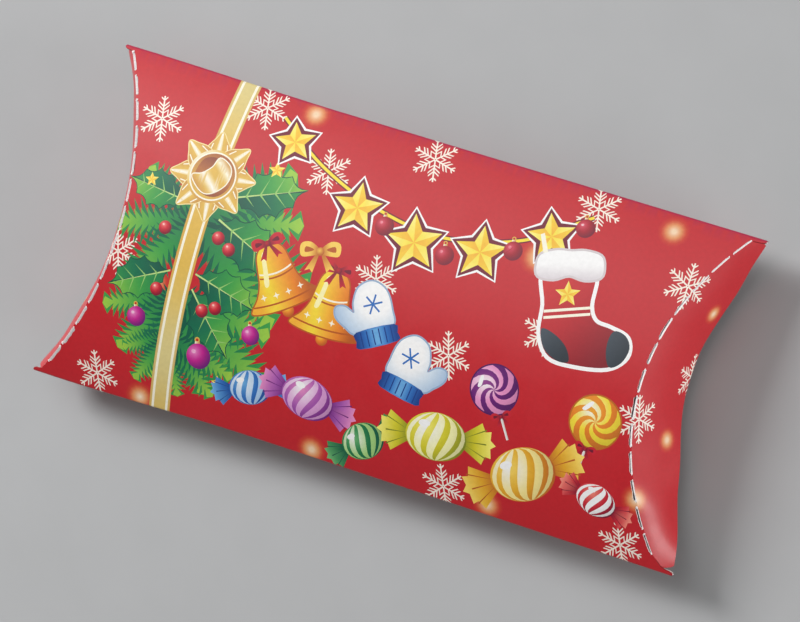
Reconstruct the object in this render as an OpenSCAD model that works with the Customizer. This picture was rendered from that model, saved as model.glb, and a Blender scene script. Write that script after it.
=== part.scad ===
// Pillow box for sweets: one printed, die-cut board blank, folded and glued into a sleeve with
// two bulged panels, and closed at each end by two flaps that tuck in along arched cut-creases.
// X runs along the box, Y across it, Z up. The origin is on the table, under the box's middle.

/* [Sleeve] */
// Length of the box from corner tip to corner tip
box_length = 180; // [140:1:240]
// Width of the box over the rounded side folds, before the seam takes its share
box_width = 87; // [72:1:110]
// Thickness of the box over the bulge of both panels
box_thickness = 22; // [19:0.5:28]
// Thickness of the folding board
board = 0.45; // [0.3:0.01:0.6]
// Outer radius of the rounded side folds
fold_radius = 0.7; // [0.65:0.01:0.9]

/* [Seam] */
// Width of the glue tab inside the far side fold
tab_width = 12; // [8:0.5:15]
// Thickness of the adhesive film between the tab and the back panel
glue_thick = 0.08; // [0.05:0.01:0.15]
// Width of bare tab left on each side of the adhesive
glue_margin = 1.5; // [1:0.1:2.5]
// Distance from the corner tips to the tab's slanted ends, at the fold
tab_setback = 10; // [8:0.5:14]
// How much further the tab's ends slant in, at its free edge
tab_slant = 6; // [4:0.5:9]

/* [Ends] */
// Depth of the arched end creases at their middle, from where they meet the side folds
end_recess = 15.9; // [13:0.1:18]
// Length of the side fold past the crease, at each corner tip
corner_ear = 1.2; // [0.8:0.1:2.5]
// Depth of the outer flaps at their middle, measured on the board
outer_flap_depth = 19.8; // [18:0.1:21]
// Depth of the inner flaps at their middle, measured on the board
inner_flap_depth = 10.2; // [8:0.1:10.5]
// Depth of an inner flap at its two clipped ends
inner_flap_ends = 1.2; // [0.8:0.1:2]
// Clear space between the ends of a flap and the side folds
flap_gap = 0.3; // [0.2:0.05:0.5]
// Clear space between a flap and the cut edge of its panel
crease_gap = 0.1; // [0.06:0.01:0.2]

/* [Perforation] */
// Number of cut slots along each crease
slot_count = 13; // [7:1:13]
// Length of one slot along the crease
slot_length = 5.5; // [3:0.1:5.8]
// Length of the bridge of board between two slots
bridge_length = 1.5; // [0.8:0.1:1.8]
// How far a flap's edge drops below its panel at a slot, as the fold opens it
slot_drop = 0.3; // [0.15:0.05:0.5]

/* [Hidden] */
$fn = 128;
// How far a cutting shape runs past what it cuts
overrun = 5;
// Steps in which the length of a crease is added up
crease_steps = 60;
half_length = box_length / 2;
half_thick = box_thickness / 2;

// Place of the near side fold's centre
fold_y = box_width / 2 - fold_radius;
// Radius of the bulged panels' outer face, which runs smoothly into the fold's
panel_radius = (pow(fold_y, 2) + pow(half_thick, 2) - pow(fold_radius, 2))
    / (box_thickness - 2 * fold_radius);
// Height of that face's centre over the mid-plane, and half the width to where two faces would meet
panel_centre = half_thick - panel_radius;
half_chord = sqrt(pow(panel_radius, 2) - pow(panel_centre, 2));
// Angle of the panels' arc at the near side fold
near_angle = asin(fold_y / (panel_radius - fold_radius));

// The far fold is a little higher, as it joins the front panel to the tab inside the back panel
tab_radius = panel_radius - board - glue_thick;
seam_z = (pow(tab_radius - fold_radius, 2) - pow(panel_radius - fold_radius, 2)) / (4 * panel_centre);
seam_y = sqrt(pow(panel_radius - fold_radius, 2) - pow(seam_z - panel_centre, 2));
front_angle = asin(seam_y / (panel_radius - fold_radius));
back_angle = asin(seam_y / (tab_radius - fold_radius));
// Shift that centres the finished sleeve
centre_shift = (fold_y - seam_y) / 2;

// The creases lean out from the box's end by this much for each unit of height
crease_slope = end_recess / half_thick;
// Where the creases would meet the side folds
crease_end = half_length - corner_ear;
// Folding a bulged board about such a crease sets its flap at this lean from the vertical
outer_lean = asin((pow(crease_slope, 2) - 1) / (pow(crease_slope, 2) + 1));
// The outer flap holds the inner flap upright
inner_lean = 0;

// Half the width of the outer flaps, and of the inner flaps between their clipped ends
outer_half = seam_y - fold_radius - flap_gap;
inner_half = panel_y(half_thick - inner_flap_depth + inner_flap_ends);

// Length along a crease from its middle, against the angle round the panel
angle_step = near_angle / crease_steps;
crease_run = [
    for (
        angle = 0, run = 0;
        angle <= near_angle + angle_step;
        run = run + crease_step_length(angle + angle_step / 2), angle = angle + angle_step
    ) [run, angle]
];
slot_pitch = slot_length + bridge_length;

// Radius of an arc from half its chord and its rise
function arc_radius(chord_half, rise) = (pow(chord_half, 2) + pow(rise, 2)) / (2 * rise);

// Place across the box where a panel's outer face is at a given height over the mid-plane
function panel_y(height) = sqrt(pow(panel_radius, 2) - pow(height - panel_centre, 2));

// Length of crease that one step of the panel's angle makes
function crease_step_length(angle) =
    panel_radius * angle_step * PI / 180 * sqrt(1 + pow(crease_slope * sin(angle), 2));

// Place across the box of a point at a given run along a crease from its middle
function crease_y(run) = sign(run) * panel_radius * sin(lookup(abs(run), crease_run));

// How far a flap's face bulges inwards from the line between its corners, square to the flap
function face_rise(lean) = half_thick * (crease_slope * cos(lean) - sin(lean));

// Height of a crease's middle over the line between its ends, measured on the flap
function crease_height(lean) = half_thick * (crease_slope * sin(lean) + cos(lean));

// A drawing with Y to the right and Z up, drawn out along the box
module along_box() {
    rotate([90, 0, 90]) linear_extrude(box_length, center = true) children();
}

// Section of a sheet bent to an arc round the drawing's origin, between two angles from the top
module bent_section(outer, thick, from_angle, to_angle) {
    middle_angle = (from_angle + to_angle) / 2;
    reach = outer / cos((to_angle - from_angle) / 2) + overrun;
    intersection() {
        difference() {
            circle(outer);
            circle(outer - thick);
        }
        polygon([
            [0, 0],
            for (angle = [from_angle, middle_angle, to_angle]) reach * [sin(angle), cos(angle)]
        ]);
    }
}

// Sheet that bulges upwards, as long as the box
module bulged_sheet(outer, thick, from_angle, to_angle) {
    along_box() translate([0, panel_centre])
        bent_section(outer, thick, from_angle, to_angle);
}

// Solid round bar along the box whose upper side is the panel's outer face, less an inset
module panel_bar(inset) {
    translate([0, 0, panel_centre]) rotate([0, 90, 0])
        cylinder(h = box_length + 2 * overrun, r = panel_radius - inset, center = true);
}

// Slab across the box between two places along Y
module slab(from_y, to_y) {
    translate([-box_length, from_y, -box_thickness])
        cube([2 * box_length, to_y - from_y, 2 * box_thickness]);
}

// Solid round post outside the right end, whose near side is a flap's outer face, grown a little
module end_post(lean, grow) {
    radius = arc_radius(half_chord, face_rise(lean));
    rotate([0, -lean, 0]) translate([crease_end * cos(lean) + radius - face_rise(lean), 0, 0])
        cylinder(h = 2 * box_width, r = radius + grow, center = true);
}

// One bulged panel, its ends cut back to the flaps' inner faces between the corner ears
module panel(lean, end_angle, cut_half) {
    difference() {
        bulged_sheet(panel_radius, board, -near_angle, end_angle);
        for (side = [0, 1]) mirror([side, 0, 0]) intersection() {
            end_post(lean, board + crease_gap);
            slab(-cut_half - crease_gap, cut_half + crease_gap);
        }
    }
}

// What a flap may fill next to its panel: all that is under the board, and the uncut bridges
module flap_top() {
    slots_half = slot_count * slot_pitch / 2;
    panel_bar(board + slot_drop);
    difference() {
        panel_bar(0);
        for (i = [0 : slot_count - 1]) slab(
            crease_y(i * slot_pitch - slots_half + bridge_length / 2),
            crease_y((i + 1) * slot_pitch - slots_half - bridge_length / 2)
        );
    }
}

// Bent sheet of a right-hand flap under the upper panel, not yet cut to its outline
module flap_sheet(lean, width_half) {
    intersection() {
        difference() {
            end_post(lean, board);
            end_post(lean, 0);
        }
        slab(-width_half, width_half);
        flap_top();
    }
}

// Flap with an arched free edge that runs from corner to corner
module outer_flap() {
    edge_rise = outer_flap_depth - crease_height(outer_lean);
    edge_radius = arc_radius(half_chord, edge_rise);
    intersection() {
        flap_sheet(outer_lean, outer_half);
        rotate([0, -outer_lean, 0])
            translate([crease_end * cos(outer_lean), 0, edge_radius - edge_rise
                - crease_end * sin(outer_lean)])
            rotate([0, 90, 0]) cylinder(h = box_length, r = edge_radius, center = true);
    }
}

// Upright flap with a straight free edge and clipped ends, under the lower panel's crease
module inner_flap() {
    mirror([0, 0, 1]) intersection() {
        flap_sheet(inner_lean, inner_half);
        translate([0, -box_width, half_thick - inner_flap_depth])
            cube([box_length, 2 * box_width, box_thickness]);
    }
}

// Rounded fold of board between an upper and a lower sheet, at the far side
module side_fold(place_y, place_z, upper_angle, lower_angle) {
    along_box() translate([place_y, place_z])
        bent_section(fold_radius, board, upper_angle, 180 - lower_angle);
}

// Strip inside the back panel beside the far fold. Its ends slant in, away from the fold
module seam_strip(outer, thick, inner_y, end_angle) {
    strip_end = half_length - tab_setback;
    mirror([0, 0, 1]) intersection() {
        bulged_sheet(outer, thick, asin(inner_y / outer), end_angle);
        linear_extrude(box_thickness) polygon([
            [-strip_end, seam_y + fold_radius],
            [strip_end, seam_y + fold_radius],
            [strip_end - tab_slant, seam_y - tab_width],
            [tab_slant - strip_end, seam_y - tab_width]
        ]);
    }
}

// Moves the box from the frame of its mid-plane, in which it is drawn, onto the table
module on_table() {
    translate([0, centre_shift, half_thick]) children();
}

module front_panel() {
    color("firebrick") on_table() panel(outer_lean, front_angle, outer_half);
}

module back_panel() {
    color("firebrick") on_table() mirror([0, 0, 1]) panel(inner_lean, back_angle, outer_half);
}

module near_side_fold() {
    color("crimson") on_table() mirror([0, 1, 0]) side_fold(fold_y, 0, near_angle, near_angle);
}

module far_side_fold() {
    color("crimson") on_table() side_fold(seam_y, seam_z, front_angle, back_angle);
}

module glue_tab() {
    color("whitesmoke") on_table() seam_strip(tab_radius, board, seam_y - tab_width, back_angle);
}

module glue_film() {
    color("ivory") on_table() seam_strip(
        tab_radius + glue_thick,
        glue_thick,
        seam_y - tab_width + glue_margin,
        asin((seam_y - glue_margin) / tab_radius)
    );
}

module right_outer_flap() {
    color("firebrick") on_table() outer_flap();
}

module right_inner_flap() {
    color("indianred") on_table() inner_flap();
}

module left_outer_flap() {
    color("firebrick") on_table() mirror([1, 0, 0]) outer_flap();
}

module left_inner_flap() {
    color("indianred") on_table() mirror([1, 0, 0]) inner_flap();
}

front_panel();
back_panel();
near_side_fold();
far_side_fold();
glue_tab();
glue_film();
right_outer_flap();
right_inner_flap();
left_outer_flap();
left_inner_flap();
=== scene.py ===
"""Pillow box for sweets: printed and raw board, worked out in the flat blank and folded onto the CAD."""

import math

import bpy
import numpy as np
from mathutils import Matrix, Vector
from mathutils.geometry import delaunay_2d_cdt


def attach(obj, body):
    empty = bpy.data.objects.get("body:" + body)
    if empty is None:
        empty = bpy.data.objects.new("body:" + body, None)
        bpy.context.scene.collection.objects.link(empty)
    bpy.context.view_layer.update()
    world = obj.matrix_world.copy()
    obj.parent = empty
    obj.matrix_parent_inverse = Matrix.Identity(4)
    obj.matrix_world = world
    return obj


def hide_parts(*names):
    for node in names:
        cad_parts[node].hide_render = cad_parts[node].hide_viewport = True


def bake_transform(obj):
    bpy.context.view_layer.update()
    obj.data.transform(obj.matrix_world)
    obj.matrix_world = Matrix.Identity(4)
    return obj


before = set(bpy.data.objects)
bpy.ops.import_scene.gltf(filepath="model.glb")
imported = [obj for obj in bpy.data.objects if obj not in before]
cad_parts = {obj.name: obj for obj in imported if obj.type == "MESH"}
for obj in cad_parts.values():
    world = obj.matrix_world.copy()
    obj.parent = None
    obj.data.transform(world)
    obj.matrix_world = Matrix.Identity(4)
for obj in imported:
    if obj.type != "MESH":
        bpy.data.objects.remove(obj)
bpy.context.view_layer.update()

# Lengths of the box are in millimetres in the CAD's order, and become metres where a mesh is made
MM = 0.001
BOX_LENGTH, BOX_WIDTH, BOX_THICKNESS = 180.0, 87.0, 22.0
BOARD = 0.45
GLUE = 0.08
FOLD_R = 0.7
END_RECESS, CORNER_EAR = 15.9, 1.2
OUTER_DEPTH, INNER_DEPTH = 19.8, 10.2
SLOTS, SLOT, BRIDGE = 13, 5.5, 1.5

# Only in the scene: how far the corner tips reach past the solids, where the flaps end and how much fuller
# than their arcs the outer ones are near there, and the share by which the left end is wider
EARS = {("right", "near"): 1.3, ("right", "far"): 0.5, ("left", "near"): -0.3, ("left", "far"): -0.7}
FLAP_END, FLAP_CORNER, INNER_HALF_RUN = 44.0, 0.9, 44.8
FULLER_NEAR, FULLER_FAR = 2.3, 3.0
WIDER_NEAR, WIDER_FAR = 0.028, 0.018

HALF_LENGTH = BOX_LENGTH / 2
MID = BOX_THICKNESS / 2
FOLD_Y = BOX_WIDTH / 2 - FOLD_R
PANEL_R = (FOLD_Y**2 + MID**2 - FOLD_R**2) / (BOX_THICKNESS - 2 * FOLD_R)
PANEL_C = MID - PANEL_R
HALF_CHORD = math.sqrt(PANEL_R**2 - PANEL_C**2)
NEAR = math.asin(FOLD_Y / (PANEL_R - FOLD_R))
TAB_R = PANEL_R - BOARD - GLUE
SEAM_Z = ((TAB_R - FOLD_R) ** 2 - (PANEL_R - FOLD_R) ** 2) / (4 * PANEL_C)
SEAM_Y = math.sqrt((PANEL_R - FOLD_R) ** 2 - (SEAM_Z - PANEL_C) ** 2)
FRONT = math.asin(SEAM_Y / (PANEL_R - FOLD_R))
BACK = math.asin(SEAM_Y / (TAB_R - FOLD_R))
SHIFT = (FOLD_Y - SEAM_Y) / 2

# Crease planes: x + SLOPE * height over the mid-plane = CREASE_END
SLOPE = END_RECESS / MID
CREASE_END = HALF_LENGTH - CORNER_EAR
LEAN = math.asin((SLOPE**2 - 1) / (SLOPE**2 + 1))
MIRROR = np.array([1, 0, SLOPE]) / math.hypot(1, SLOPE)
INNER_R = (HALF_CHORD**2 + END_RECESS**2) / (2 * END_RECESS)

# The blank: u runs along the box, v round it. v is 0 at the middle of the front panel
V_NEAR = -PANEL_R * NEAR
V_FAR = PANEL_R * FRONT
V_BACK = V_NEAR - FOLD_R * (math.pi - 2 * NEAR)
V_END = V_BACK - PANEL_R * (NEAR + BACK)
V_TAB = V_FAR + FOLD_R * (math.pi - FRONT - BACK)


# Surfaces: each maps places in the blank, and a lift off the printed face, to points and normals

def ring(u, centre_y, centre_z, radius, angle, up):
    """Points on a cylinder along the box, at angles from its top (up=1) or bottom (up=-1)."""
    normal = np.stack([0 * u, np.sin(angle), up * np.cos(angle)], 1)
    centre = np.stack([u, 0 * u + SHIFT + centre_y, 0 * u + MID + centre_z], 1)
    return centre + np.reshape(radius, (-1, 1)) * normal, normal


def front_face(u, v, lift):
    return ring(u, 0, PANEL_C, PANEL_R + lift, v / PANEL_R, 1)


def back_angle(v):
    return (V_BACK - v) / PANEL_R - NEAR


def back_face(u, v, lift):
    return ring(u, 0, -PANEL_C, PANEL_R + lift, back_angle(v), -1)


def near_fold_face(u, v, lift):
    return ring(u, -FOLD_Y, 0, FOLD_R + lift, (v - V_NEAR) / FOLD_R - NEAR, 1)


def far_fold_face(u, v, lift):
    return ring(u, SEAM_Y, SEAM_Z, FOLD_R + lift, (v - V_FAR) / FOLD_R + FRONT, 1)


def crease_u(v):
    """Place of the front panel's right crease in the blank."""
    return CREASE_END - SLOPE * (PANEL_R * np.cos(v / PANEL_R) + PANEL_C)


def inner_crease_u(v):
    """Place of the back panel's right crease in the blank, where its inner flap stands up."""
    y = PANEL_R * np.sin(back_angle(v))
    return CREASE_END - END_RECESS + INNER_R - np.sqrt(INNER_R**2 - y**2)


def mirrored(points, side):
    return points * np.array([side, 1, 1])


def outer_flap_face(u, v, lift, side, opened):
    """The panel's surface past its crease, mirrored in the crease's plane, opened further and bulged.

    opened(v) gives two further angles in radians: at the crease, and of the free edge as seen from it.
    """
    origin = np.array([CREASE_END, 0, MID])
    points, normals = front_face(side * u, v, -lift)
    points = points - 2 * ((points - origin) @ MIRROR)[:, None] * MIRROR
    normals = 2 * (normals @ MIRROR)[:, None] * MIRROR - normals
    step = 0.01
    at = front_face(crease_u(v), v, 0)[0]
    axis = front_face(crease_u(v + step), v + step, 0)[0] - at
    axis /= np.linalg.norm(axis, axis=1)[:, None]
    share = np.clip((side * u - crease_u(v)) / np.maximum(outer_depth(v), 1), 0, 1)
    hinged, average = opened(v)
    points = at + turned(points - at, axis, -average - (hinged - average) * (1 - share))
    normals = turned(normals, axis, -average - (hinged - average) * (1 - 2 * share))
    return mirrored(points, side), mirrored(normals, side)


def widened(points):
    """The left end of the box is a little wider than the right one."""
    x, y, z = points.T
    share = eased((-25 - x) / 60)
    return np.stack([x, y * (1 + share * np.where(y > 0, WIDER_FAR, WIDER_NEAR)), z], 1)


def turned(vectors, axis, angle):
    cos, sin = np.cos(angle)[:, None], np.sin(angle)[:, None]
    along = (vectors * axis).sum(1)[:, None]
    return vectors * cos + np.cross(axis, vectors) * sin + axis * along * (1 - cos)


def inner_flap_face(u, v, lift, side):
    """An upright sheet on the back panel's crease."""
    crease = inner_crease_u(v)
    foot, _ = back_face(crease, v, 0)
    across = foot[:, 1] - SHIFT
    normals = np.stack([np.sqrt(INNER_R**2 - across**2), -across, 0 * u], 1) / INNER_R
    up = np.array([0, 0, 1])
    points = foot + (side * u - crease)[:, None] * up + np.reshape(lift, (-1, 1)) * normals
    return mirrored(points, side), mirrored(normals, side)


# Creases: cut slots and bridges as long as in the CAD, laid out by length along each crease

def run_table(edge_u):
    """Length along a crease from its middle, against the place across the panel."""
    across = np.linspace(-48, 48, 961)
    along = edge_u(across)
    run = np.concatenate([[0], np.cumsum(np.hypot(np.diff(across), np.diff(along)))])
    return run - np.interp(0, across, run), across


def back_v(across):
    return V_BACK - PANEL_R * NEAR - across


FRONT_RUN = run_table(crease_u)
BACK_RUN = run_table(lambda across: inner_crease_u(back_v(across)))
FLAP_HALF_RUN = float(np.interp(FLAP_END, FRONT_RUN[1], FRONT_RUN[0]))


def on_front_crease(run):
    v = np.interp(run, *FRONT_RUN)
    return crease_u(v), v


def on_back_crease(run):
    v = back_v(np.interp(run, *BACK_RUN))
    return inner_crease_u(v), v


# A slot's cut edge: places of its end's points along it, their shares of its depth, and its unevenness
SLOT_END, SLOT_SHOULDER, UNEVEN = np.array([0, 0.12, 0.4]), np.array([0, 0.75, 1]), 0.12


class Perforation:
    """The slots of one crease. A slot's panel edge stands back by its gap, and its flap edge by its drop."""

    def __init__(self, seed, shift=0.0, gaps=(0.7, 0.7, 0.7)):
        self.random = np.random.default_rng(seed)
        self.centres = (np.arange(SLOTS) - (SLOTS - 1) / 2) * (SLOT + BRIDGE) + shift
        self.gaps = np.interp(self.centres, (-30, 0, 30), gaps)
        self.gaps += self.random.uniform(-0.08, 0.12, SLOTS)
        self.drops = self.random.uniform(0.0, 0.1, SLOTS)

    def edge(self, depths):
        """Runs along the crease with how far the cut edge stands back from it, from first to last slot."""
        inner = np.linspace(2 * SLOT_END[-1], SLOT - 2 * SLOT_END[-1], 6)
        steps = np.concatenate([SLOT_END, inner, SLOT - SLOT_END[::-1]])
        runs, backs = [], []
        for centre, depth in zip(self.centres, depths):
            rough = 1 + self.random.uniform(-UNEVEN, UNEVEN, len(inner))
            runs.append(centre - SLOT / 2 + steps)
            backs.append(depth * np.concatenate([SLOT_SHOULDER, rough, SLOT_SHOULDER[::-1]]))
        return np.concatenate(runs), np.concatenate(backs)


# A corner tip's points: share of its reach along the box, and distance left to the side fold
TIP = ((0.33, 0.68), (0.71, 0.55), (0.92, 0.35), (1, 0))
TIP_START = 0.75
FOLD_STEPS = 160


def panel_outline(on_crease, right, left, near_v, far_v):
    """Outline of a panel between its two creases, with a corner ear at each end of both."""
    sides = []
    for sign, name, holes in ((1, "right", right), (-1, "left", left)):
        runs, backs = holes.edge(holes.gaps)
        u, v = on_crease(runs)
        if v[0] > v[-1]:
            u, v, backs = u[::-1], v[::-1], backs[::-1]
        ends = sorted([(near_v, EARS[name, "near"]), (far_v, EARS[name, "far"])])
        low, high = (ear(on_crease, v[i], *end) for i, end in zip((0, -1), ends))
        line = low[::-1] + list(zip(u - backs, v)) + high
        sides.append(np.array(line)[::sign] * (sign, 1))
    right_side, left_side = sides
    far_edge = np.linspace(right_side[-1], left_side[0], FOLD_STEPS)[1:-1]
    near_edge = np.linspace(left_side[-1], right_side[0], FOLD_STEPS)[1:-1]
    return np.concatenate([right_side, far_edge, left_side, near_edge])


def ear(on_crease, first, end, drawn):
    """Along the crease from the last slot, then more and more outside it to a small tip at the side fold."""
    inward = math.copysign(1, first - end)
    u, v = on_crease(np.linspace(-60, 60, 800))
    last = u[np.argmin(np.abs(v - first))]
    kept = ((v - end) * inward > TIP_START) & ((first - v) * inward > 0.1)
    order = np.argsort(-v[kept] * inward)
    u, v = u[kept][order][::4], v[kept][order][::4]
    u = u + max(drawn, 0) * ((v - first) / (end - first)) ** 1.3
    last = u[-1] if len(u) else last
    reach = HALF_LENGTH + drawn - last
    return list(zip(u, v)) + [(last + reach * part, end + left * inward) for part, left in TIP]


def outer_depth(v):
    """Depth of an outer flap from crease to free edge, squarer than an arc near its round corners."""
    y = PANEL_R * np.sin(v / PANEL_R)
    height = PANEL_R * np.cos(v / PANEL_R) + PANEL_C
    rise = OUTER_DEPTH - MID * (SLOPE * math.sin(LEAN) + math.cos(LEAN))
    edge_r = (HALF_CHORD**2 + rise**2) / (2 * rise)
    edge = edge_r - rise - CREASE_END * math.sin(LEAN) - np.sqrt(edge_r**2 - y**2)
    arched = height * math.cos(LEAN) - crease_u(v) * math.sin(LEAN) - edge
    fuller = np.where(v < 0, FULLER_NEAR, FULLER_FAR) * eased((np.abs(v) - 8) / 22)
    past = np.clip((np.abs(v) - FLAP_END + FLAP_CORNER) / FLAP_CORNER, 0, 1)
    return (arched + fuller) * np.sqrt(1 - past**2)


def eased(t):
    t = np.clip(t, 0, 1)
    return t * t * (3 - 2 * t)


def inner_depth(v):
    """Depth of an inner flap from its crease up to its straight free edge."""
    height = PANEL_R * np.cos(back_angle(v)) + PANEL_C
    return height - (MID - INNER_DEPTH)


def flap_outline(on_crease, holes, depth, half_run, side):
    """Outline of a flap: its perforated edge, and its free edge between two ends."""
    runs, backs = holes.edge(holes.drops)
    least_depth = 0.4
    within = np.abs(runs) < half_run - 0.1
    runs = np.concatenate([[-half_run], runs[within], [half_run]])
    backs = np.concatenate([[0], backs[within], [0]])
    u, v = on_crease(runs)
    top = np.stack([u + backs, v], 1)
    u, v = on_crease(half_run * np.sin(np.linspace(math.pi / 2, -math.pi / 2, 100))[1:-1])
    free = np.stack([u + np.maximum(depth(v), least_depth), v], 1)
    line = np.concatenate([top, free]) * (side, 1)
    return line if area(line) > 0 else line[::-1]


def area(points):
    x, y = np.asarray(points, float).T
    return 0.5 * (x @ np.roll(y, -1) - y @ np.roll(x, -1))


# Printing: shapes in the blank, each an outline with a paint that gives the colour at any place

def rgb(*values):
    return np.array(values, float) / 255


RED = rgb(198, 35, 44)
# Painted shade: darker red for the rims of folds at the ears
FOLD_SHADE_RED = rgb(150, 24, 32)
CREAM = rgb(252, 240, 226)
# Painted shade: colour of a thin darker line along the far fold
FAR_FOLD_PAINTED_SHADE = rgb(164, 26, 92)
GLOW = rgb(255, 240, 212)


def plain(colour):
    return lambda p: np.tile(colour, (len(p), 1))


def graded(t, stops):
    """Colours along a list of (place, colour) stops."""
    places = [place for place, _ in stops]
    colours = np.array([colour for _, colour in stops])
    return np.stack([np.interp(t, places, channel) for channel in colours.T], 1)


def fading(start, end, *colours):
    """Evenly spaced colours from one point to another."""
    start, way = np.array(start, float), np.subtract(end, start)
    stops = list(zip(np.linspace(0, 1, len(colours)), colours))
    return lambda p: graded((p - start) @ way / (way @ way), stops)


def shining(centre, radius, *colours):
    """Evenly spaced colours from a centre outwards."""
    stops = list(zip(np.linspace(0, 1, len(colours)), colours))
    return lambda p: graded(np.hypot(*(p - centre).T) / radius, stops)


def arc(centre, radius, start=0.0, end=360.0, steps=24, squash=1.0):
    angles = np.radians(np.linspace(start, end, steps, endpoint=abs(end - start) < 360))
    return np.stack([centre[0] + radius * np.cos(angles), centre[1] + radius * squash * np.sin(angles)], 1)


def spline(before, here, after, later, t):
    """Place on a Catmull-Rom curve, at a share of the way from here to after."""
    bend = (2 * before - 5 * here + 4 * after - later) * t**2
    return 0.5 * (2 * here + (after - before) * t + bend + (3 * here - before - 3 * after + later) * t**3)


def smooth(points, steps=5):
    """Closed smooth curve through the points."""
    points = np.array(points, float)
    around = [np.roll(points, shift, 0) for shift in (1, 0, -1, -2)]
    return np.stack([spline(*around, t) for t in np.arange(steps) / steps], 1).reshape(-1, 2)


def both(half):
    """An outline from the half of it under the x axis."""
    return half + [(x, -y) for x, y in half[::-1]]


def oblong(left, low, right, high):
    return [(left, low), (right, low), (right, high), (left, high)]


def placed(points, at=(0, 0), turn=0.0, size=1.0):
    cos, sin = math.cos(math.radians(turn)) * size, math.sin(math.radians(turn)) * size
    return np.asarray(points, float) @ np.array([[cos, sin], [-sin, cos]]) + at


def outset(points, width):
    """The outline moved outwards by a width."""
    points = np.asarray(points, float)
    if area(points) < 0:
        points = points[::-1]
    way = np.roll(points, -1, 0) - np.roll(points, 1, 0)
    normal = np.stack([way[:, 1], -way[:, 0]], 1) / np.maximum(np.linalg.norm(way, axis=1), 1e-9)[:, None]
    return points + width * normal


art = []


def draw(points, paint, fine=0.0):
    """Print a shape over what is there, in a colour or a paint, which is worked out every fine mm."""
    art.append((np.asarray(points, float), paint if callable(paint) else plain(paint), fine))


class Motif:
    """Shapes and paints in a frame of their own, placed on the blank."""

    def __init__(self, at, turn=0.0, size=1.0):
        self.frame = (at, turn, size)

    def spot(self, x, y):
        return placed([(x, y)], *self.frame)[0]

    def fill(self, points, paint, fine=0.0):
        draw(placed(points, *self.frame), paint, fine * self.frame[2])

    def fade(self, start, end, *colours):
        return fading(*placed([start, end], *self.frame), *colours)

    def shine(self, centre, radius, *colours):
        return shining(self.spot(*centre), radius * self.frame[2], *colours)

    def faded(self, points, start, end, *colours, fine=0.0):
        self.fill(points, self.fade(start, end, *colours), fine)

    def disc(self, radius, steps, paint, fine=0.0, centre=(0, 0), squash=1.0):
        self.fill(arc(centre, radius, steps=steps, squash=squash), paint, fine)


# Soft lights printed into the ground: place and radius
GLOWS = [(-32.7, 41.8, 4.4), (-59.8, -12.5, 5.0), (-58.3, -43.3, 4.4), (37.2, 23.0, 5.2),
         (67.5, 39.6, 4.3), (36.0, -11.0, 4.6), (78.7, -28.0, 4.3), (-8.9, -43.0, 4.4), (40.5, -42.2, 4.4),
         (89.4, 21.8, 3.2), (87.0, -11.9, 3.5), (-86.0, 8.0, 3.6), (-86.0, -22.0, 3.6)]
GLOWS += [(u, V_BACK - 10 - 17.5 * (i % 4) - 6 * (i % 3), 4.8) for i, u in enumerate(range(-78, 90, 14))]
GLOW_RINGS = (0.12, 0.28, 0.45, 0.6, 0.75, 0.88, 1.0)


def ground(p):
    """The red ground with its printed lights, and a thin darker line of painted shade along the far fold."""
    out = np.tile(RED, (len(p), 1))
    for u, v, radius in GLOWS:
        share = np.clip(1 - np.hypot(p[:, 0] - u, p[:, 1] - v) / radius, 0, 1)
        light = graded(share, [(0, RED), (0.25, rgb(206, 66, 48)), (0.55, rgb(230, 150, 96)), (1, GLOW)])
        out = np.where(share[:, None] > 0, light, out)
    # Painted shade: a thin darker line along the far fold
    line = np.clip(1 - np.abs(p[:, 1] - V_FAR - 0.3) / 0.5, 0, 1)[:, None]
    return out * (1 - 0.8 * line) + FAR_FOLD_PAINTED_SHADE * 0.8 * line


def snowflake(at, size=6.2, turn=46.0):
    """Six fern-like arms, each a stem with three pairs of barbs, round a star of open rhombs."""
    stem, thick, slant = 0.032, 0.07, math.radians(47)
    side = []
    for base, length in ((0.36, 0.30), (0.52, 0.26), (0.8, 0.15)):
        along, up = np.array([math.cos(slant), math.sin(slant)]) * length
        side += [(base, stem), (base + along, stem + up), (base + along + thick, stem + up),
                 (base + 1.15 * thick, stem)]
    side.append((1.0, stem))
    arm = [(0.02, -stem)] + [(x, -y) for x, y in side] + side[::-1] + [(0.02, stem)]
    for k in range(6):
        draw(placed(arm, at, turn + 60 * k, size), CREAM)
        start, corner, end = placed([(0.27, 0)]), placed([(0.48, 0)], turn=30), placed([(0.27, 0)], turn=60)
        zigzag = np.concatenate([start, corner, end, 0.78 * end, 0.8 * corner, 0.78 * start])
        draw(placed(zigzag, at, turn + 60 * k, size), CREAM)


def snowflakes():
    rows = [(39.5, (-45.6, 2.0, 47.2)), (28.2, (-71.3, -23.3)), (5.5, (-1.5, 45.4)),
            (-7.3, (-71.4, 22.6)), (-41.2, (28.1, 76.7))]
    for v, places in rows:
        for u in places:
            snowflake((u, v))
    snowflake((-71.1, -40.2))
    snowflake((76.1, 27.1), turn=33)
    snowflake((75.2, -8.1))
    snowflake((92.7, 4.6))
    for row, v in enumerate(np.arange(V_BACK - 9, V_END, -17.3)):
        for u in np.arange(-72 + 12.4 * (row % 2), 86, 24.8):
            snowflake((u, v), turn=-46)


BAND_U = -52.6
GOLD, PALE_GOLD, DEEP_GOLD = rgb(226, 184, 82), rgb(222, 205, 140), rgb(206, 150, 72)
IVORY, UMBER = rgb(252, 247, 226), rgb(168, 96, 52)


def band_paint(p):
    """Gold that turns paler twice round the box, with darker selvedges."""
    pale = 0.5 - 0.5 * np.cos((p[:, 1] - 8) / 76 * 2 * math.pi)
    out = GOLD + (PALE_GOLD - GOLD) * (pale**2)[:, None]
    selvedge = np.clip((np.abs(p[:, 0] - BAND_U) - 2.1) / 0.9, 0, 1)[:, None]
    return out * (1 - 0.55 * selvedge) + DEEP_GOLD * 0.55 * selvedge


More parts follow.
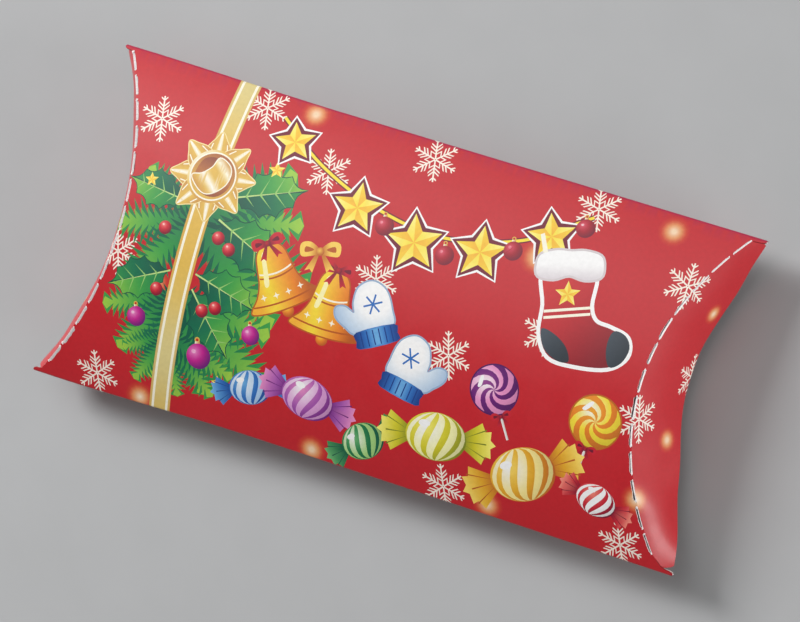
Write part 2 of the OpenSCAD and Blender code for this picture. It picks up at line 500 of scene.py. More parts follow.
def ribbon_band():
    for centre, half, paint in ((0, 2.95, band_paint), (-1.95, 0.33, IVORY), (1.95, 0.33, IVORY)):
        u = BAND_U + centre
        draw(oblong(u - half, V_END - 3, u + half, V_TAB + 3), paint)


def rosette(at, radius=11.6, loops=8, turn=8.0):
    """Ribbon bow of pointed loops round a ring, with one loop across its middle."""
    kite = smooth(both([(0.4, -0.24), (0.62, -0.27), (0.84, -0.13), (0.985, -0.035)]), 4)
    sheen = smooth(both([(0.44, -0.06), (0.75, -0.05), (0.97, -0.02)]), 3)
    edge = [(0.5, 0.2), (0.74, 0.155), (0.74, 0.18), (0.5, 0.228)]
    for k in [*range(0, loops, 2), *range(1, loops, 2)]:
        loop = Motif(at, turn + 360 / loops * k, radius)
        loop.fill(outset(kite, 0.022), rgb(246, 226, 160))
        loop.faded(kite, (0.6, -0.26), (0.6, 0.26), DEEP_GOLD, GOLD, GOLD, DEEP_GOLD, fine=0.09)
        loop.faded(sheen, (0.6, -0.09), (0.6, 0.09), GOLD, rgb(255, 253, 246), GOLD, fine=0.04)
        for side in (-1, 1):
            loop.fill([(x, y * side) for x, y in edge], IVORY)
    here = Motif(at, turn, radius)
    here.disc(0.6, 44, here.fade((-0.5, 0.4), (0.5, -0.4), IVORY, GOLD, DEEP_GOLD, GOLD))
    here.disc(0.55, 44, IVORY)
    here.disc(0.515, 44, here.fade((-0.2, -0.5), (0.2, 0.5), GOLD, DEEP_GOLD, UMBER))
    hollow = smooth([(-0.44, -0.1), (-0.2, -0.4), (0.16, -0.44), (0.42, -0.2), (0.4, 0.16), (0.1, 0.4),
                     (-0.28, 0.36)])
    here.fill(hollow, here.fade((-0.1, -0.4), (0.1, 0.4), rgb(150, 78, 48), rgb(186, 116, 60),
                                rgb(140, 70, 50)))
    middle = Motif(at, 50, radius)
    strap = smooth([(-0.36, -0.2), (-0.16, -0.32), (0.14, -0.33), (0.36, -0.2), (0.44, 0.0), (0.34, 0.26),
                    (0.1, 0.18), (-0.18, 0.2), (-0.38, 0.3), (-0.42, 0.04)])
    middle.fill(outset(strap, 0.025), IVORY)
    middle.fill(strap, middle.fade((-0.42, 0), (0.44, 0), DEEP_GOLD, GOLD, rgb(255, 252, 244), GOLD, GOLD,
                                   IVORY, DEEP_GOLD), fine=0.06)


LIME, LEAF, TEAL, DEEP_TEAL = rgb(158, 204, 72), rgb(62, 158, 74), rgb(22, 112, 80), rgb(14, 80, 66)
YELLOW, AMBER, ORANGE, RUST = rgb(250, 224, 62), rgb(246, 178, 56), rgb(236, 134, 42), rgb(186, 92, 34)
WINE, MAROON, BERRY = rgb(168, 26, 44), rgb(116, 22, 48), rgb(204, 36, 52)
WHITE, ICE, SKY = rgb(252, 251, 250), rgb(206, 222, 238), rgb(120, 184, 232)
BLUE, NAVY = rgb(48, 112, 190), rgb(26, 62, 134)
PINK, MAGENTA, PURPLE = rgb(238, 150, 200), rgb(196, 34, 140), rgb(104, 30, 116)
INK, SLATE = rgb(44, 52, 60), rgb(70, 80, 90)


def pointed(points, dip, steps=4):
    """Closed outline through sharp points, with a hollow arc between each two."""
    points = np.array(points, float)
    out = []
    for a, b in zip(points, np.roll(points, -1, 0)):
        way = b - a
        for t in np.arange(steps) / steps:
            out.append(a + way * t - dip * 4 * t * (1 - t) * np.array([way[1], -way[0]]))
    return np.array(out)


def leaf(at, turn, length):
    """Holly leaf: one half lit and one in shade, with a pale midrib and veins."""
    here = Motif(at, turn, length)
    edge = [(0, 0), (0.15, 0.14), (0.36, 0.27), (0.58, 0.29), (0.8, 0.19), (1, 0)]
    lower, upper = [(x, -y) for x, y in edge], edge[::-1]
    here.fill(outset(pointed(lower + upper[1:-1], 0.2), 0.012), DEEP_TEAL)
    here.fill(pointed(lower, 0.2)[:-4], here.fade((0, 0), (1, 0), DEEP_TEAL, TEAL, LEAF), fine=0.1)
    here.fill(pointed(upper, 0.2)[:-4], here.fade((0, 0.1), (1, 0.1), TEAL, LEAF, LIME), fine=0.1)
    here.fill([(0, -0.012), (0.95, 0), (0, 0.012)], rgb(196, 224, 140))
    for x, reach in ((0.2, 0.14), (0.38, 0.2), (0.57, 0.2), (0.74, 0.13)):
        for side in (-1, 1):
            here.fill([(x, 0), (x + 0.75 * reach, side * reach), (x + 0.026, 0)], rgb(150, 200, 110))


def fir(at, turn, length, width=0.24, needles=12, colours=(DEEP_TEAL, TEAL, LEAF)):
    """Fir spray: a zigzag of needles with a paler one on top of it."""
    here = Motif(at, turn, length)
    for scale, shades in ((1.0, colours), (0.55, (TEAL, LEAF, LIME))):
        edge = []
        for k in range(needles):
            x = 0.04 + 0.92 * k / needles
            reach = width * scale * math.sin(math.pi * (0.16 + 0.8 * x)) ** 0.8
            edge += [(x + 0.02, 0.2 * reach), (x + 0.13, reach)]
        line = [(0, 0.01)] + edge + [(1.06, 0)]
        here.fill([(x, -y) for x, y in line] + line[::-1][1:], here.fade((0, 0), (1, 0), *shades))


def star(at, radius, turn=0.0, waist=0.46, rims=()):
    """Five-pointed star with a lit and a shaded side to each point, and rims of given width and colour."""
    here = Motif(at, turn, radius)
    points = [(math.sin(math.pi * k / 5) * r, math.cos(math.pi * k / 5) * r)
              for k, r in enumerate((1, waist) * 5)]
    for width, colour in rims:
        here.fill(outset(np.array(points)[::-1], width / radius), colour)
    for k in range(0, 10, 2):
        tip, right, left = points[k], points[(k + 1) % 10], points[k - 1]
        here.fill([(0, 0), right, tip], here.fade((0, 0), tip, AMBER, YELLOW))
        here.fill([(0, 0), tip, left], here.fade((0, 0), tip, YELLOW, rgb(255, 244, 150)))


def ball(at, radius, light, middle, dark, cap=True, turn=0.0):
    """Shiny ball, with a gold cap and ring when it hangs."""
    here = Motif(at, turn, radius)
    if cap:
        here.disc(0.22, 12, GOLD, centre=(0, 1.28))
        here.disc(0.12, 10, RED, centre=(0, 1.28))
        neck = [(-0.22, 0.9), (0.22, 0.9), (0.2, 1.16), (-0.2, 1.16)]
        here.faded(neck, (-0.2, 0), (0.2, 0), IVORY, DEEP_GOLD)
    here.disc(1, 32, here.shine((-0.32, 0.36), 1.42, light, middle, dark), fine=0.25)
    here.disc(0.2, 12, here.shine((-0.36, 0.4), 0.2, WHITE, light), centre=(-0.36, 0.4), squash=0.8)


def bell(at, turn, size):
    """Golden bell with two bands, a clapper and a small red bow."""
    here = Motif(at, turn, size)
    ball(here.spot(0, -0.42), 0.13 * size, YELLOW, ORANGE, RUST, cap=False)
    half = [(0.0, 1.0), (0.17, 0.97), (0.3, 0.82), (0.36, 0.56), (0.42, 0.26), (0.56, 0.0), (0.74, -0.18),
            (0.74, -0.27), (0.4, -0.34)]
    body = smooth(half + [(0, -0.36)] + [(-x, y) for x, y in half[:0:-1]], 4)
    here.fill(outset(body, 0.03), RUST)
    here.faded(body, (-0.55, 0), (0.6, 0), AMBER, YELLOW, AMBER, ORANGE, RUST, fine=0.1)
    for y, half_width, colour in ((-0.16, 0.7, RUST), (0.36, 0.38, RUST), (0.44, 0.36, IVORY)):
        top = [(x * half_width, y - 0.07 * (1 - x * x)) for x in np.linspace(-1, 1, 9)]
        here.fill(top + [(x, h + 0.035) for x, h in top[::-1]], colour)
    for x in (-0.42, -0.14, 0.14, 0.42):
        here.fill(glint((x, -0.05 * (1 - (x / 0.5) ** 2)), 0.075), IVORY)
    shine = [(-0.26, 0.5), (-0.2, 0.82), (-0.12, 0.86), (-0.16, 0.5), (-0.22, 0.2), (-0.32, 0.2)]
    here.fill(smooth(shine, 3), rgb(255, 246, 180))
    bow(here.spot(0, 1.02), turn, 0.34 * size, BERRY, MAROON)


def glint(at, radius, points=4):
    """Small sharp star of light."""
    return [(at[0] + r * math.cos(math.pi * k / points), at[1] + r * math.sin(math.pi * k / points))
            for k, r in enumerate((radius, 0.35 * radius) * points)]


def bow(at, turn, size, colour, shade):
    """Tied bow: two tails, two loops and a knot."""
    here = Motif(at, turn, size)
    for side in (-1, 1):
        tail = [(0, 0), (0.2 * side, -0.1), (0.75 * side, -0.9), (0.5 * side, -0.82), (0.36 * side, -1.0)]
        here.faded(tail, (0, 0), (0.5 * side, -0.9), shade, colour)
        loop = smooth([(0, 0.08), (0.5 * side, 0.46), (0.98 * side, 0.36), (0.96 * side, -0.2),
                       (0.5 * side, -0.22), (0, -0.1)], 4)
        here.faded(loop, (0, 0), (side, 0.1), shade, colour, colour)
        here.fill(smooth([(0.3 * side, 0.08), (0.72 * side, 0.24), (0.76 * side, -0.04)], 3), shade)
    here.disc(0.2, 12, here.shine((-0.05, 0.05), 0.25, colour, shade))


def mitten(at, turn, size, side=1):
    """White mitten with a ribbed blue cuff and a blue star of frost."""
    here = Motif(at, turn, size)
    hand = [(-0.34, 0.24), (-0.42, 0.56), (-0.38, 0.95), (-0.14, 1.18), (0.16, 1.12), (0.32, 0.86),
            (0.36, 0.66), (0.52, 0.82), (0.7, 0.84), (0.74, 0.66), (0.6, 0.44), (0.38, 0.24)]
    hand = smooth([(x * side, y) for x, y in hand])
    here.fill(outset(hand, 0.035), rgb(150, 176, 206))
    here.fill(hand, here.shine((-0.12 * side, 0.8), 0.95, WHITE, WHITE, ICE, rgb(160, 188, 220)), fine=0.12)
    for k in range(3):
        here.fill(placed(oblong(-0.2, -0.018, 0.2, 0.018), (-0.06 * side, 0.74), 60 * k), BLUE)
    cuff = smooth([(-0.4, -0.06), (0.4, -0.06), (0.44, 0.1), (0.4, 0.28), (-0.4, 0.28), (-0.44, 0.1)], 3)
    here.faded(cuff, (-0.44, 0), (0.44, 0), NAVY, BLUE, SKY, BLUE, NAVY, fine=0.1)
    for x in np.linspace(-0.32, 0.32, 6):
        here.fill(oblong(x - 0.012, -0.04, x + 0.012, 0.26), NAVY)


def stocking(at, turn, size):
    """Red stocking with a white outline, a fleecy cuff, a dark heel and toe, and a gold star."""
    here = Motif(at, turn, size)
    sock = smooth([(-0.3, 1.05), (-0.29, 0.6), (-0.32, 0.24), (-0.2, -0.04), (0.14, -0.14), (0.56, -0.16),
                   (0.8, -0.02), (0.8, 0.2), (0.58, 0.32), (0.38, 0.4), (0.3, 0.6), (0.3, 1.05)])
    here.fill(outset(sock, 0.05), WHITE)
    here.fill(sock, here.fade((-0.4, 0.9), (0.5, -0.1), rgb(214, 52, 52), rgb(188, 34, 44), rgb(132, 20, 34)),
              fine=0.12)
    heel = [(-0.31, 0.3), (-0.27, 0.06), (-0.1, -0.09), (0.06, -0.1), (0.02, 0.08), (-0.14, 0.24)]
    here.faded(smooth(heel, 4), (-0.3, 0.2), (0.05, 0), SLATE, INK)
    toe = [(0.58, -0.15), (0.74, -0.1), (0.84, 0.08), (0.78, 0.24), (0.62, 0.29), (0.54, 0.08)]
    here.faded(smooth(toe, 4), (0.5, 0.2), (0.85, 0), SLATE, INK)
    for y in (0.42, 0.5):
        here.fill([(-0.29, y), (0.31, y + 0.06), (0.31, y + 0.095), (-0.29, y + 0.035)], IVORY)
    fleece = [(-0.4, 0.98), (-0.2, 0.93), (0, 0.96), (0.2, 0.93), (0.4, 0.98), (0.43, 1.12), (0.38, 1.26),
              (0.18, 1.3), (0, 1.27), (-0.18, 1.3), (-0.38, 1.26), (-0.43, 1.12)]
    fleece = smooth([(x, y + 0.02 * math.cos(9 * x)) for x, y in fleece], 4)
    here.fill(outset(fleece, 0.03), rgb(216, 206, 208))
    here.faded(fleece, (0, 1.3), (0, 0.93), WHITE, WHITE, rgb(222, 214, 218))
    here.fill([(-0.36, 1.26), (-0.42, 1.5), (-0.37, 1.52), (-0.3, 1.27)], IVORY)
    star(here.spot(0, 0.74), 0.17 * size, turn)


def stripes(here, wide, high, count, colour, lean=0.0):
    """Stripes that bulge like meridians over an oval."""
    rise = np.radians(np.linspace(-88, 88, 13))
    for k in range(count):
        start = math.radians(-84 + 168 * (k + 0.2) / count)
        end = math.radians(-84 + 168 * (k + 0.75) / count)
        rows = [(wide * math.sin(start + lean * f) * math.cos(f), high * math.sin(f)) for f in rise]
        back = [(wide * math.sin(end + lean * f) * math.cos(f), high * math.sin(f)) for f in rise[::-1]]
        here.fill(rows + back, colour)


def sweet(at, turn, size, light, middle, dark, stripe, wide=0.52, high=0.4, count=5):
    """Sweet in a twisted wrapper with fanned ends."""
    here = Motif(at, turn, size)
    fan = [(0.42, -0.09), (0.78, -0.34), (0.84, -0.2), (0.94, -0.22), (0.93, -0.06), (1.02, 0.0),
           (0.93, 0.08), (0.94, 0.22), (0.84, 0.2), (0.78, 0.34), (0.42, 0.09)]
    for side in (-1, 1):
        shade = here.fade((0.4 * side, 0), (0.95 * side, 0), dark, middle, light)
        here.fill([(x * side, y) for x, y in fan][::side], shade)
        for slope in (-0.42, 0.0, 0.42):
            tip = slope * 0.56
            crease = [(0.46 * side, slope * 0.1), (0.86 * side, tip - 0.012), (0.86 * side, tip + 0.012)]
            here.fill(crease, dark)
    oval = [(wide * math.cos(a), high * math.sin(a)) for a in np.linspace(0, 2 * math.pi, 12, False)]
    here.fill(smooth(oval, 4), here.shine((-0.16, 0.14), 0.72, light, middle, dark), fine=0.12)
    shade = here.shine((-0.16, 0.14), 0.8, WHITE, stripe, stripe * 0.8)
    stripes(here, wide * 0.985, high * 0.985, count, shade, 0.35)
    here.disc(0.1, 12, WHITE, centre=(-0.2, 0.2), squash=0.6)


def lollipop(at, turn, size, light, dark, swirls=6, twist=110):
    """Round swirled lollipop on a stick, with a small bow under it."""
    here = Motif(at, turn, size)
    stick = oblong(-0.05, -2.1, 0.05, -0.9)
    here.faded(stick, (-0.05, 0), (0.05, 0), WHITE, rgb(206, 198, 190))
    here.disc(1.06, 44, dark * 0.8)
    here.disc(1.0, 44, here.shine((-0.3, 0.35), 1.5, WHITE, light, light * 0.85), fine=0.3)
    shade = here.shine((-0.3, 0.35), 1.5, light * 0.4 + dark * 0.6, dark, dark * 0.8)
    reach = np.linspace(0, 1, 9)
    for k in range(swirls):
        start = 360 / swirls * k
        one = [placed([(r, 0)], turn=start + twist * r)[0] for r in reach]
        other = [placed([(r, 0)], turn=start + 180 / swirls + twist * r)[0] for r in reach[::-1]]
        edge = arc((0, 0), 1.0, start + twist, start + twist + 180 / swirls, steps=5)[1:-1]
        here.fill(np.concatenate([one, edge, other]), shade)
    here.fill(smooth([(-0.66, 0.3), (-0.42, 0.66), (-0.3, 0.62), (-0.5, 0.28)], 4), WHITE)
    bow(here.spot(0, -1.12), turn, 0.42 * size, BERRY, MAROON)


def swag(points, width, colour, rim):
    """Cord along a smooth open curve."""
    points = np.array(points, float)
    line = np.concatenate([[2 * points[0] - points[1]], points, [2 * points[-1] - points[-2]]])
    line = [spline(*line[i:i + 4], t) for i in range(len(points) - 1) for t in np.arange(8) / 8]
    line = np.array(line + [points[-1]])
    way = np.gradient(line, axis=0)
    across = np.stack([-way[:, 1], way[:, 0]], 1) / np.linalg.norm(way, axis=1)[:, None]
    for half, paint in ((width / 2 + 0.35, rim), (width / 2, colour)):
        draw(np.concatenate([line - half * across, (line + half * across)[::-1]]), paint)


def greenery():
    """Fir sprays and holly behind the bow and along the band."""
    root = (BAND_U + 0.5, 6.0)
    for turn, length in ((152, 19), (196, 23), (232, 24), (-14, 33), (14, 27), (42, 27), (-38, 32)):
        fir(root, turn, length, 0.3)
    low = (BAND_U, -14.0)
    for turn, length in ((200, 20), (232, 21), (262, 22), (-62, 25), (-30, 31), (-6, 26)):
        fir(low, turn, length, 0.3)
    foot = (BAND_U, -25.0)
    for turn, length in ((206, 13), (240, 15), (-72, 15), (-40, 18), (-16, 19)):
        fir(foot, turn, length, 0.3)
    for at, turn, length in (((-57, 10), 174, 17), ((-46, 14), 22, 21), ((-47, 8), -22, 22),
                             ((-56, -8), 206, 18), ((-49, -11), -48, 20), ((-49, -7), -14, 19)):
        leaf(at, turn, length)


def illustration():
    """A wintry still life of sweets, bells and knitwear, whose motifs lean with the picture."""
    lean = 15
    greenery()
    for at, radius in (((-43.5, -27.5), 3.4), ((-30.5, -18.0), 2.5), ((-62.5, -22.0), 2.6)):
        ball(at, radius, PINK, MAGENTA, PURPLE, turn=lean)
    for at in ((-45.6, 3.4), (-42.0, 1.4), (-60.5, 2.0), (-45.0, -15.6), (-41.6, -14.0), (-58.6, -13.6)):
        ball(at, 1.75, rgb(255, 150, 140), BERRY, MAROON, cap=False)
    for at, radius in (((-36.5, 24.5), 2.3), ((-31.0, 6.6), 1.9), ((-37.0, -33.0), 2.0),
                       ((-68.0, 12.6), 1.9)):
        star(at, radius, lean)
    cord = [(-40, 38.5), (-26, 29.4), (-8, 22.8), (12, 20.6), (32, 26.0), (47, 37.0)]
    swag(cord, 0.8, YELLOW, MAROON)
    rims = ((1.9, WHITE), (1.25, MAROON))
    for at, radius, turn in (((-34.8, 33.0), 5.6, 20), ((-12.5, 21.4), 6.8, 8), ((5.0, 17.2), 7.6, 16),
                             ((22.4, 19.8), 7.0, 10), ((38.5, 29.0), 6.4, 22)):
        star(at, radius, turn, rims=rims)
    for at in ((-3.9, 19.0), (13.8, 16.4), (30.4, 22.6), (46.0, 33.6)):
        ball(at, 2.5, rgb(226, 90, 110), WINE, MAROON, turn=lean)
    bell((-25.0, -4.5), lean + 20, 12.5)
    bell((-11.5, -8.0), lean - 14, 12.5)
    bow((-18.0, 8.0), lean, 5.4, rgb(250, 208, 92), RUST)
    mitten((3.6, -9.5), lean + 14, 13.0, side=-1)
    mitten((12.0, -20.5), lean - 26, 13.0)
    stocking((51.5, 2.0), lean, 20.0)
    lollipop((64.0, -12.0), lean - 22, 6.6, YELLOW, ORANGE)
    lollipop((36.5, -12.0), lean + 14, 6.2, PINK, PURPLE)
    sweet((-28.0, -31.5), lean + 8, 11.5, SKY, BLUE, NAVY, rgb(176, 208, 240))
    sweet((-12.0, -29.5), lean - 22, 14.0, PINK, rgb(170, 90, 176), PURPLE, rgb(222, 160, 214))
    sweet((4.8, -36.0), lean + 26, 12.0, rgb(120, 190, 120), rgb(30, 120, 72), DEEP_TEAL, rgb(168, 214, 130))
    sweet((24.0, -28.5), lean - 6, 16.0, rgb(250, 240, 120), rgb(214, 204, 44), rgb(120, 130, 36),
          rgb(250, 246, 180))
    sweet((48.5, -31.0), lean + 18, 17.5, rgb(254, 222, 110), rgb(232, 172, 42), RUST, rgb(252, 232, 150))
    sweet((68.5, -31.5), lean - 30, 10.5, rgb(250, 150, 130), BERRY, MAROON, WHITE)


snowflakes()
illustration()
ribbon_band()
rosette((BAND_U + 0.2, 18.0))


# Meshes: a sheet is a closed solid of board with a printed face, a bare face and raw edges

def inside(points, outline):
    """Which points lie in a closed outline."""
    found = np.zeros(len(points), bool)
    low, high = outline.min(0), outline.max(0)
    near = np.flatnonzero(((points >= low) & (points <= high)).all(1))
    x, y = points[near].T
    hit = np.zeros(len(near), bool)
    for (x0, y0), (x1, y1) in zip(outline, np.roll(outline, -1, 0)):
        if y0 != y1:
            hit ^= ((y0 > y) != (y1 > y)) & (x < (x1 - x0) * (y - y0) / (y1 - y0) + x0)
    found[near] = hit
    return found


def split(shape, longest):
    """The same closed shape with its long edges cut into equal parts."""
    out = []
    for start, end in zip(shape, np.roll(shape, -1, 0)):
        parts = max(1, math.ceil(np.hypot(*(end - start)) / longest))
        out += [start + (end - start) * i / parts for i in range(parts)]
    return np.array(out)


def grid_inside(shape, pitch):
    low, high = shape.min(0), shape.max(0)
    grid = np.stack(np.meshgrid(np.arange(low[0] + pitch / 2, high[0], pitch),
                                np.arange(low[1] + pitch / 2, high[1], pitch)), -1).reshape(-1, 2)
    return grid[inside(grid, shape)]


def triangulated(outline, others, pitch, extra=()):
    """Triangles inside an outline that keep the edges of the other shapes, with a grid of points between."""
    points, edges = [], []
    for shape in [outline] + [split(other, 2 * pitch) for other in others]:
        first = len(points)
        points += shape.tolist()
        edges += [(first + i, first + (i + 1) % len(shape)) for i in range(len(shape))]
    for more in (grid_inside(outline, pitch), *extra):
        points += more[inside(more, outline)].tolist()
    made = delaunay_2d_cdt([Vector(p) for p in points], edges, [], 0, 1e-4)
    verts = np.array([tuple(p) for p in made[0]])
    tris = np.array([f for f in made[2] if len(f) == 3])
    x, y = verts[tris, 0], verts[tris, 1]
    signed = (x[:, 1] - x[:, 0]) * (y[:, 2] - y[:, 0]) - (x[:, 2] - x[:, 0]) * (y[:, 1] - y[:, 0])
    tris[signed < 0] = tris[signed < 0][:, ::-1]
    tris = tris[(np.abs(signed) > 1e-7) & inside(verts[tris].mean(1), outline)]
    return verts, tris


def rim(tris):
    """Edges on the boundary of a set of triangles, in their own direction."""
    sides = {(t[i], t[(i + 1) % 3]) for t in tris.tolist() for i in range(3)}
    return np.array(sorted(side for side in sides if side[::-1] not in sides))


def to_linear(colour):
    return np.where(colour <= 0.04045, colour / 12.92, ((colour + 0.055) / 1.055) ** 2.4)


def printed_face(outline, pitch):
    """Triangles that keep the edges of the art that falls on a sheet, and the ink at their corners."""
    low, high = outline.min(0), outline.max(0)
    shapes = [shape for shape in art if (shape[0].max(0) > low).all() and (shape[0].min(0) < high).all()]
    extra = [grid_inside(points, fine) for points, _, fine in shapes if fine]
    rings = [arc((u, v), radius * share, steps=12) for u, v, radius in GLOWS for share in GLOW_RINGS
             if low[0] < u < high[0] and low[1] < v < high[1]]
    verts, tris = triangulated(outline, [shape[0] for shape in shapes] + rings, pitch, extra)
    middles = verts[tris].mean(1)
    owner = np.full(len(tris), -1)
    for i, shape in enumerate(shapes):
        owner[inside(middles, shape[0])] = i
    ink = np.empty((len(tris), 3, 3))
    for i in np.unique(owner):
        mine = owner == i
        paint = ground if i < 0 else shapes[i][1]
        ink[mine] = paint(verts[tris[mine]].reshape(-1, 2)).reshape(-1, 3, 3)
    return verts, tris, to_linear(ink.reshape(-1, 3).clip(0, 1))


def board(solid, outline, face, pitch=3.0, fold=None, crease=None):
    """A printed sheet of board with the art that falls on it, standing for a CAD node.

    A sheet that rides on the sleeve is one closed solid. One with a fold has its bare side as a lining of its
    own.
    Where a panel reaches outside its crease, at the ears, its rim is a fold and not a cut, so it is red,
    painted darker as painted shade of the rounded fold.
    """
    verts, tris, ink = printed_face(outline, pitch)
    loop = follow(rim(tris))
    edge = np.stack([loop, np.roll(loop, -1)], 1)
    back_verts, back_tris = triangulated(verts[loop], [], pitch if fold else 2 * pitch)
    back_tris = back_tris[:, ::-1]
    border, place = np.unique(edge, return_inverse=True)
    match = len(verts) + nearest(verts[border], back_verts)[place.reshape(-1, 2)]
    thickness = fold.thickness(*back_verts.T) if fold else np.full(len(back_verts), BOARD)
    crept = fold.crept(*back_verts.T) if fold else back_verts[:, 0]
    front_points, front_normals = face(verts[:, 0], verts[:, 1], 0.0)
    back_points, back_normals = face(crept, back_verts[:, 1], -thickness)
    points = np.concatenate([widened(front_points), widened(back_points)])
    places = np.concatenate([verts, back_verts])
    quads = np.stack([edge[:, 0], match[:, 0], match[:, 1], edge[:, 1]], 1)
    flat = np.cross(points[quads[:, 1]] - points[quads[:, 0]], points[quads[:, 3]] - points[quads[:, 0]])
    flat /= np.maximum(np.linalg.norm(flat, axis=1), 1e-12)[:, None]
    white = np.ones((1, 3))
    front = (tris, front_normals[tris].reshape(-1, 3), ink)
    back = (len(verts) + back_tris, -back_normals[back_tris].reshape(-1, 3), white)
    if fold:
        edges = (quads, np.repeat(flat, 4, axis=0), white)
        piece = assembled(solid + "_board", points, places, [(printed, front), (raw_edge, edges)])
        lining = assembled(solid + "_lining", points, places, [(bare, back)])
        for part, delay in ((piece, 0.0), (lining, fold.delay)):
            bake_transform(part)
            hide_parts(solid)
        return
    u, v = verts[edge].mean(1).T
    folded = np.abs(u) > crease(v) + 0.02 if crease else np.zeros(len(edge), bool)
    parts = [(printed, front), (bare, back)]
    # Folded rims get a darker red than the print, as painted shade
    for made, part, colour in ((raw_edge, ~folded, white), (printed, folded, to_linear(FOLD_SHADE_RED)[None])):
        if part.any():
            parts.append((made, (quads[part], np.repeat(flat[part], 4, axis=0), colour)))
    piece = assembled(solid + "_board", points, places, parts)
    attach(piece, "sleeve")
    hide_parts(solid)


def added(name, data):
    """A new object in the scene."""
    piece = bpy.data.objects.new(name, data)
    bpy.context.scene.collection.objects.link(piece)
    return piece


def assembled(name, points, places, parts):
    """An object of parts, each a material with its faces, corner normals and corner colours."""
    faces = [face for _, (corners, _, _) in parts for face in corners.tolist()]
    loops = np.concatenate([corners.ravel() for _, (corners, _, _) in parts])
    used, again = np.unique(loops, return_inverse=True)
    sizes = [len(face) for face in faces]
    starts = np.concatenate([[0], np.cumsum(sizes)])
    faces = [again[a:b].tolist() for a, b in zip(starts[:-1], starts[1:])]
    mesh = bpy.data.meshes.new(name)
    mesh.from_pydata((points[used] * MM).tolist(), [], faces)
    counts = [len(corners) for _, (corners, _, _) in parts]
    mesh.polygons.foreach_set("material_index", np.repeat(range(len(parts)), counts))
    mesh.polygons.foreach_set("use_smooth", np.ones(len(faces), bool))
    colours = [np.broadcast_to(colour, (corners.size, 3)) for _, (corners, _, colour) in parts]
    colours = np.hstack([np.concatenate(colours), np.ones((len(loops), 1))]).astype(np.float32)
    mesh.attributes.new("ink", "FLOAT_COLOR", "CORNER").data.foreach_set("color", colours.ravel())
    blank = (places[loops] * MM).astype(np.float32)
    mesh.uv_layers.new(name="blank").uv.foreach_set("vector", blank.ravel())
    for made, _ in parts:
        mesh.materials.append(made)
    mesh.update()
    mesh.normals_split_custom_set(np.concatenate([normals for _, (_, normals, _) in parts]).tolist())
    piece = added(name, mesh)
    return piece


# A flap's sheet is drawn thick at its raw crease edge and thin beyond, with its bare side creeping outwards
CREASE_THICK, FLAP_THICK, CREEP = 0.55, 0.21, 0.08


class Fold:
    """Thickness and creep of a flap's sheet along its crease, with the way, start and reach of a bend that is
    not applied.

    The way leans towards the middle of the crease.
    """

    def __init__(self, body, side, up, edge_u, reach, lean):
        self.body, self.side, self.edge_u = body, side, edge_u
        along = np.array([-SLOPE, 0, 1]) / math.hypot(1, SLOPE)
        way = lean * along - MIRROR
        self.way = way * (side, 1, up) * reach / (way @ way)
        self.start = np.array([side * (CREASE_END - END_RECESS), 0, MID + up * MID])
        upright = np.array([1, 0, 0]) if up < 0 else 2 * MIRROR[2] * MIRROR - (0, 0, 1)
        self.delay = -FLAP_THICK * (upright @ way) / reach

    def depth(self, u, v):
        return self.side * u - self.edge_u(v)

    def thickness(self, u, v):
        """Full at the crease, where the raw edge shows, and thin beyond it."""
        return CREASE_THICK + (FLAP_THICK - CREASE_THICK) * eased((self.depth(u, v) - 0.5) / 2.5)

    def crept(self, u, v):
        """Along the crease the bare side of the board reaches a little further than the printed one."""
        return u - self.side * CREEP * (1 - eased(self.depth(u, v) / 1.2))


def follow(edges):
    """The vertices of the longest closed loop of edges, in order."""
    after = dict(edges.tolist())
    best = []
    while after:
        start = next(iter(after))
        loop, at = [], start
        while at in after:
            loop.append(at)
            at = after.pop(at)
        if len(loop) > len(best):
            best = loop
    return best


def nearest(points, others):
    """For each point, the index of the closest other point."""
    return np.array([np.argmin(((others - p) ** 2).sum(1)) for p in points])


# Materials: on the sheets every pattern follows the blank, so that it bends with the board

def material(name, colour, roughness):
    made = bpy.data.materials.new(name)
    made.use_nodes = True
    tree = made.node_tree
    shader = tree.nodes["Principled BSDF"]
    shader.inputs["Base Color"].default_value = (*to_linear(colour), 1)
    shader.inputs["Roughness"].default_value = roughness
    return made, tree, shader


def node(tree, kind, links=(), **values):
    """A node with its inputs linked or set by name or number."""
    made = tree.nodes.new("ShaderNode" + kind)
    for key, value in values.items():
        setattr(made, key, value)
    for socket, source in links:
        if isinstance(source, bpy.types.NodeSocket):
            tree.links.new(source, made.inputs[socket])
        else:
            made.inputs[socket].default_value = source
    return made


def grain(tree, scale, detail=3.0, stretch=(1, 1, 1), solid=False):
    """Noise over the blank, or in an object's own space, in cycles per metre."""
    if solid:
        place = node(tree, "TexCoord").outputs["Object"]
    else:
        place = node(tree, "UVMap", uv_map="blank").outputs[0]
    bent = node(tree, "Mapping", [("Vector", place), ("Scale", stretch)])
    return node(tree, "TexNoise", [("Vector", bent.outputs[0]), ("Scale", scale),
                                   ("Detail", detail)]).outputs["Fac"]


def spread(tree, value, low, high, from_low=0.3, from_high=0.7):
    return node(tree, "MapRange", [("Value", value), ("From Min", from_low), ("From Max", from_high),
                                   ("To Min", low), ("To Max", high)]).outputs[0]


def mixed(tree, shader, share, low, high):
    """The shader's colour, between two colours by a share from 0 to 1."""
    mix = node(tree, "MixRGB", [(0, share), (1, (*to_linear(low), 1)), (2, (*to_linear(high), 1))])
    tree.links.new(mix.outputs[0], shader.inputs["Base Color"])


def bumped(tree, shader, height, strength, distance):
    bump = node(tree, "Bump", [("Strength", strength), ("Distance", distance), ("Height", height)])
    tree.links.new(bump.outputs[0], shader.inputs["Normal"])


